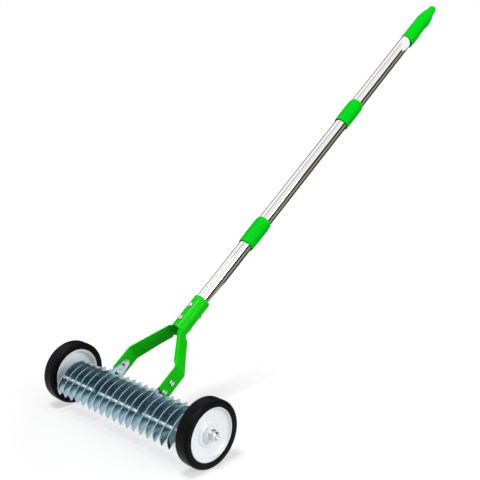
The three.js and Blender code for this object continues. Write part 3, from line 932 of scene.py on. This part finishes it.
class AERATOR_OT_tubes(Operator):
    """Adds the three handle tubes, the upper two with their plug ends"""

    bl_idname = "aerator.tubes"
    bl_label = "Handle tubes"

    def execute(self, context):
        outside = sizes().tube_radius / MM
        inside = outside - sizes().tube_wall / MM
        plug = inside - FIT_GAP
        bore = plug - sizes().tube_wall / MM
        for part, (start, end) in TUBE_SPANS.items():
            node = f"tube_{part}"
            length = end - start
            plain = part == "lower"
            corners = [(inside, length), (inside, 0), (outside, 0, 0.3), (outside, length, 0.3)]
            if not plain:
                corners = [(inside, length), (inside, 3), (bore, 0), (bore, -PLUG_LENGTH),
                           (plug, -PLUG_LENGTH, 0.3), (plug, -1), (outside - 0.6, 0),
                           (outside, 0.8), (outside, length, 0.3)]
            mesh = lathe(rounded(corners, 3), sizes().lathe_sides, node, along="Y")
            if plain:
                drills = [drill(s - start, 0, upright=True) for s in SOCKET_BOLTS.values()]
                mesh = smooth(combined(mesh, drills, "DIFFERENCE"), 35)
            matrix = shifted(HANDLE_FRAME, 0, start, HANDLE_LINE)
            add_piece(node, mesh, matrix, chrome_material())
        return {"FINISHED"}


class AERATOR_OT_collars(Operator):
    """Adds the moulded collars over the handle's joints"""

    bl_idname = "aerator.collars"
    bl_label = "Collars"

    def execute(self, context):
        bore = sizes().tube_radius / MM + FIT_GAP
        outside = through([(16.2, -33), (16.4, -25), (16.8, -12), (16.9, 0), (16.85, 14),
                           (16.6, 25), (16.1, 30), (15.4, 32.6), (14.8, 33.8)], 4)
        mouth = rounded([(bore, -20, 1), (bore + 0.9, -34, 0.3), (15.8, -34, 0.4)], 3)
        profile = mouth + outside + [Vector((bore + 0.2, 34)), Vector((bore, 33.5))]
        mesh = lathe(profile, sizes().lathe_sides, "collar", along="Y", sharp=50)
        for height, centre in COLLAR_CENTRES.items():
            matrix = shifted(HANDLE_FRAME, 0, centre, HANDLE_LINE)
            add_piece(f"collar_{height}", mesh, matrix, plastic_material())
        return {"FINISHED"}


class AERATOR_OT_grip(Operator):
    """Adds the hand grip: a sleeve with a slanted mouth and one full side, ending in a nub"""

    bl_idname = "aerator.grip"
    bl_label = "Hand grip"

    def execute(self, context):
        count = sizes().lathe_sides
        bore = sizes().tube_radius / MM + FIT_GAP

        def ring(y, radius, swell, sag):
            points = []
            for i in range(count):
                turn = 2 * math.pi * i / count
                r = radius + swell * max(0, -math.sin(turn))
                z = r * math.sin(turn)
                lean = 0.24 * z * (1 - smoothstep(y, 0, 30))
                points.append((r * math.cos(turn), y + lean, z - sag))
            return points

        outside = [ring(*section) for section in through(GRIP_SECTIONS, 6)]
        depth = 88.6
        inside = [ring(depth, bore, 0, 0), ring(20, bore, 0, 0), ring(8, bore, 0.6, 0),
                  ring(0.6, bore, 1.4, 0)]
        blind = [(0, depth, 0)] * count
        nub = [(0, 135.5, -1.8)] * count
        rings = [blind, *inside, ring(0, 14.6, 1.2, 0), *outside, nub]
        mesh = skin(rings, "grip", ends=True, sharp=55)
        turned = Matrix.Rotation(math.radians(GRIP_TURN), 4, "Y")
        matrix = shifted(HANDLE_FRAME, 0, GRIP_START, HANDLE_LINE) @ turned
        add_piece("grip", mesh, matrix, plastic_material())
        return {"FINISHED"}


def floor_material(base):
    """A matt floor that the camera and reflections see as white paper with a soft shadow on it.

    The camera sees less white in it near the roller, so that the shadow under the wheels stays."""
    made, shader = new_material("floor", {
        "Roughness": 0.9, "Specular IOR Level": 0.0, "Emission Color": (1, 1, 1, 1)})
    tree = made.node_tree
    tone = placed(tree, "Tone Variation", {
        "Color": rgba(base), "Second Color": rgba(base, 0.985), "Scale": 3.0, "Amount": 0.5})
    tree.links.new(tone.outputs["Color"], shader.inputs["Base Color"])
    path = tree.nodes.new("ShaderNodeLightPath")
    place = add_node(tree, "ShaderNodeTexCoord").outputs["Object"]
    away = add_node(tree, "ShaderNodeVectorMath", {0: place}, operation="LENGTH").outputs["Value"]
    (near, near_white), (far, far_white) = FLOOR_NEAR, FLOOR_FAR
    white = ranged(tree, away, near, far, near_white, far_white)
    seen = maths(tree, "MULTIPLY", path.outputs["Is Camera Ray"], white)
    mirrored = maths(tree, "ADD", path.outputs["Is Glossy Ray"],
                     path.outputs["Is Transmission Ray"], clamp=True)
    strength = maths(tree, "ADD", seen, maths(tree, "MULTIPLY", mirrored, FLOOR_MIRRORED))
    tree.links.new(strength, shader.inputs["Emission Strength"])
    return made


def add_lamp(name, place, power, size):
    """A soft square lamp that faces the middle of the machine."""
    light = bpy.data.lights.new(name, "AREA")
    light.shape = "RECTANGLE"
    light.size, light.size_y, light.energy = size, size, power
    lamp = linked(name, light)
    lamp.location = place
    lamp.rotation_euler = (LAMP_TARGET - Vector(place)).to_track_quat("-Z", "Y").to_euler()
    lamp.visible_camera = False


def beside_handle(low, high):
    """Pairs of points along the handle, between two angles round it from the camera's side."""
    along = Vector((0, math.cos(HANDLE_TILT), math.sin(HANDLE_TILT)))
    steps = max(1, round((high - low) / 6))
    rows = []
    for i in range(steps + 1):
        turn = math.radians(low + (high - low) * i / steps)
        out = math.cos(turn) * CAMERA_SIDE + math.sin(turn) * RIGHT_SIDE
        corner = ROLLER_FRAME.translation + SCREEN_REACH * out
        rows.append([corner + along * s for s in SCREEN_ENDS])
    return rows


def add_screen(name, low, high, shade):
    """A screen along the handle, between two angles round it, that only reflections see."""
    made = bmesh.new()
    edges = [[made.verts.new(point) for point in row] for row in beside_handle(low, high)]
    for (a, b), (c, d) in zip(edges, edges[1:]):
        made.faces.new((a, b, d, c))
    mesh = written(made, name)
    # Its glow, seen only in reflections, paints a reflected stripe on the chrome tubes.
    material, _ = new_material(name, {
        "Base Color": (0, 0, 0, 1), "Roughness": 1.0, "Specular IOR Level": 0.0,
        "Emission Color": (*shade, 1), "Emission Strength": 1.0})
    mesh.materials.append(material)
    screen = linked(name, mesh)
    for kind in ("camera", "diffuse", "transmission", "volume_scatter", "shadow"):
        setattr(screen, "visible_" + kind, False)


class AERATOR_OT_stage(Operator):
    """Adds the floor, the soft lamps, the screens that the tubes mirror and the camera"""

    bl_idname = "aerator.stage"
    bl_label = "Studio"

    def execute(self, context):
        scene = context.scene
        studio = scene.aerator_stage
        world = bpy.data.worlds.new("studio")
        world.use_nodes = True
        scene.world = world
        tree = world.node_tree
        path = tree.nodes.new("ShaderNodeLightPath")
        seen = maths(tree, "ADD", path.outputs["Is Camera Ray"], path.outputs["Is Glossy Ray"])
        seen = maths(tree, "ADD", seen, path.outputs["Is Transmission Ray"], clamp=True)
        strength = ranged(tree, seen, 0.0, 1.0, studio.sky, 1.0)
        tree.links.new(strength, tree.nodes["Background"].inputs["Strength"])
        tree.nodes["Background"].inputs["Color"].default_value = (1, 1, 1, 1)

        made = bmesh.new()
        bmesh.ops.create_circle(made, cap_ends=True, segments=96, radius=9)
        mesh = written(made, "floor")
        mesh.materials.append(floor_material(studio.floor))
        floor = linked("floor", mesh)
        floor.location.y = ROLLER_FRAME.translation.y

        add_lamp("key_lamp", place=(0.2, -1.3, 4.1), power=studio.key_power, size=1.1)
        add_lamp("fill_lamp", place=(2.6, 0.05, 1.25), power=studio.fill_power, size=1.8)
        for screen in SCREENS:
            add_screen(*screen)

        camera = linked("camera", bpy.data.cameras.new("camera"))
        camera.data.lens = CAMERA_LENS
        camera.matrix_world = ROLLER_FRAME @ CAMERA_FRAME
        scene.camera = camera
        scene.view_settings.view_transform = "Standard"
        return {"FINISHED"}


PIECE_OPERATORS = (
    AERATOR_OT_tyres, AERATOR_OT_hubs, AERATOR_OT_cap_nuts, AERATOR_OT_blades, AERATOR_OT_hangers,
    AERATOR_OT_axle, AERATOR_OT_tie_rods, AERATOR_OT_fork_arms, AERATOR_OT_bolts, AERATOR_OT_tubes,
    AERATOR_OT_collars, AERATOR_OT_grip, AERATOR_OT_stage,
)


class AERATOR_PT_panel(Panel):
    """Lists the builders of the aerator's pieces with their sizes and colours"""

    bl_idname = "AERATOR_PT_panel"
    bl_label = "Lawn aerator"
    bl_space_type = "VIEW_3D"
    bl_region_type = "UI"
    bl_category = "Aerator"

    def draw(self, context):
        for group in ("aerator_sizes", "aerator_finishes", "aerator_stage"):
            holder = getattr(context.scene, group)
            box = self.layout.box()
            for name in holder.__annotations__:
                box.prop(holder, name)
        for operator in PIECE_OPERATORS:
            self.layout.operator(operator.bl_idname)


CLASSES = (AeratorSizes, AeratorFinishes, AeratorStage, *PIECE_OPERATORS, AERATOR_PT_panel)


def register():
    for cls in CLASSES:
        bpy.utils.register_class(cls)
    bpy.types.Scene.aerator_sizes = PointerProperty(type=AeratorSizes)
    bpy.types.Scene.aerator_finishes = PointerProperty(type=AeratorFinishes)
    bpy.types.Scene.aerator_stage = PointerProperty(type=AeratorStage)


def unregister():
    for name in ("aerator_stage", "aerator_finishes", "aerator_sizes"):
        delattr(bpy.types.Scene, name)
    for cls in reversed(CLASSES):
        bpy.utils.unregister_class(cls)


def main():
    """Registers the classes and builds every piece."""
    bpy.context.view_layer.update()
    register()
    for operator in PIECE_OPERATORS:
        group, name = operator.bl_idname.split(".")
        getattr(getattr(bpy.ops, group), name)()


if __name__ == "__main__":
    main()
